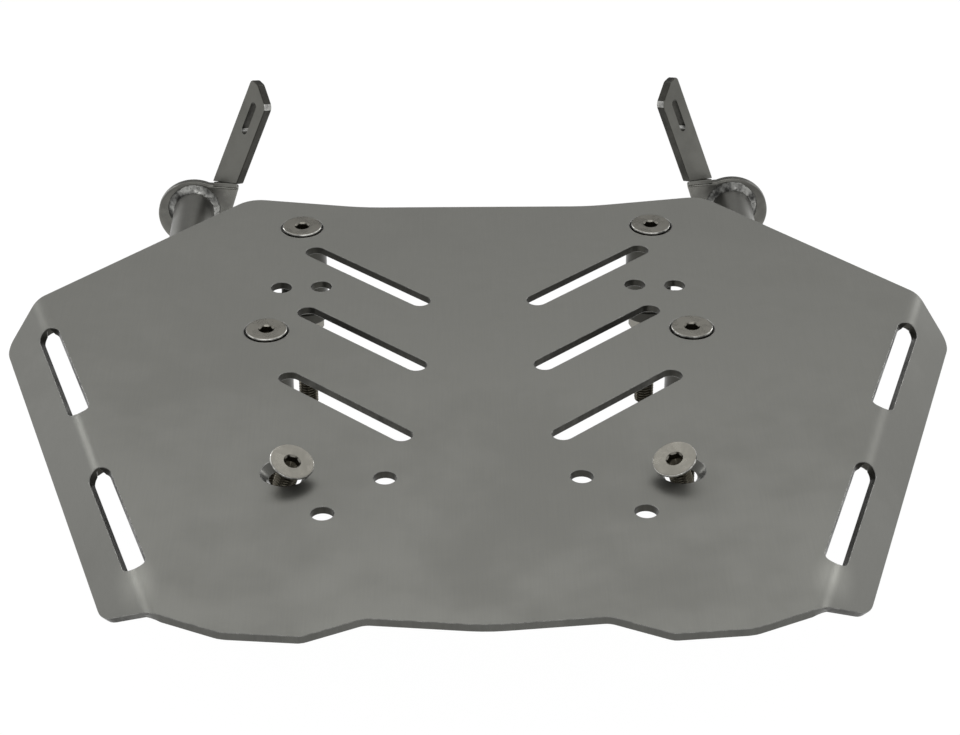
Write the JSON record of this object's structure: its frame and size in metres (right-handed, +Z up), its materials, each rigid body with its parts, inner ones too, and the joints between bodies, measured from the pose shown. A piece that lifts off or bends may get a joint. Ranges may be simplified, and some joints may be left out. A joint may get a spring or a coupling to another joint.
{
  "type": "motorcycle luggage rack",
  "caption": "Flat luggage plate with sides folded down, slanted slots and strap slots, screwed onto a tube frame with slotted mounting arms at the rear.",
  "frame": {"origin": "centre of the flat top face of the deck plate", "axes": "+Z up out of the top face, +Y to the rear where the mounting arms are, +X to the right seen from the front edge"},
  "size_m": [0.3614, 0.3865, 0.0954],
  "materials": {
    "sheet_steel": "matt",
    "screw_steel": "bright",
    "frame_steel": "satin",
    "weld_metal": "rough"
  },
  "bodies": {
    "root": {"deck_plate": "sheet_steel", "screw_rear_left": "screw_steel", "screw_mid_left": "screw_steel", "screw_front_left": "screw_steel", "screw_rear_right": "screw_steel", "screw_mid_right": "screw_steel", "screw_front_right": "screw_steel", "spacer_rear_left": "frame_steel", "support_tab_rear_left": "frame_steel", "nut_rear_left": "screw_steel", "weld_tab_rear_left": "weld_metal", "spacer_mid_left": "frame_steel", "support_tab_mid_left": "frame_steel", "nut_mid_left": "screw_steel", "weld_tab_mid_left": "weld_metal", "spacer_rear_right": "frame_steel", "support_tab_rear_right": "frame_steel", "nut_rear_right": "screw_steel", "weld_tab_rear_right": "weld_metal", "spacer_mid_right": "frame_steel", "support_tab_mid_right": "frame_steel", "nut_mid_right": "screw_steel", "weld_tab_mid_right": "weld_metal", "rail_tube_left": "frame_steel", "end_plate_left": "frame_steel", "mount_arm_left": "frame_steel", "weld_end_left": "weld_metal", "weld_arm_left": "weld_metal", "rail_tube_right": "frame_steel", "end_plate_right": "frame_steel", "mount_arm_right": "frame_steel", "weld_end_right": "weld_metal", "weld_arm_right": "weld_metal"}
  },
  "joints": []
}
